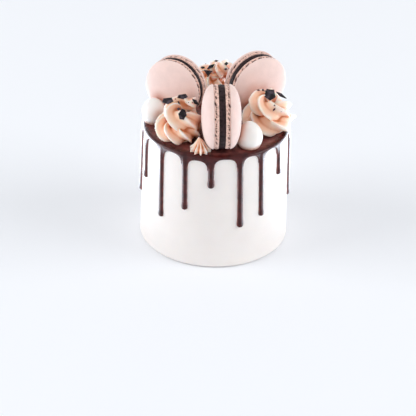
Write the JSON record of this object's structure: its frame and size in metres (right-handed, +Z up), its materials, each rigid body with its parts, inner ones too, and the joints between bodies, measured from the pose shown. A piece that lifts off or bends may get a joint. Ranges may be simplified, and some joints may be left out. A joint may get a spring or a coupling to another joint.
{
  "type": "chocolate drip cake",
  "caption": "Tall round iced cake with a poured chocolate top that drips down its side, crowned with sandwich macarons, piped buttercream swirls and cream sweets.",
  "frame": {"origin": "middle of the cake's flat underside", "axes": "+Z up; the front of the cake, with one macaron seen edge-on, faces -Y; +X is to the right seen from the front"},
  "size_m": [0.1083, 0.1109, 0.1323],
  "materials": {
    "icing": "smooth off-white icing, softly satin",
    "ganache": "glossy poured dark chocolate",
    "macaron_shell": "matt pinkish-beige almond crust with a crumbly foot",
    "macaron_filling": "near-black chocolate filling, slightly rough",
    "buttercream": "soft peach-tan piped buttercream, satin",
    "cream": "smooth cream-white coating, satin"
  },
  "bodies": {
    "root": {"cake_body": "icing", "ganache": "ganache", "macaron_left_shell_near": "macaron_shell", "macaron_left_shell_far": "macaron_shell", "macaron_left_filling": "macaron_filling", "macaron_right_shell_near": "macaron_shell", "macaron_right_shell_far": "macaron_shell", "macaron_right_filling": "macaron_filling", "macaron_front_shell_right": "macaron_shell", "macaron_front_shell_left": "macaron_shell", "macaron_front_filling": "macaron_filling", "swirl_left": "buttercream", "swirl_right": "buttercream", "swirl_back": "buttercream", "piped_star": "buttercream", "sweet_left": "cream", "sweet_right": "cream"}
  },
  "joints": []
}
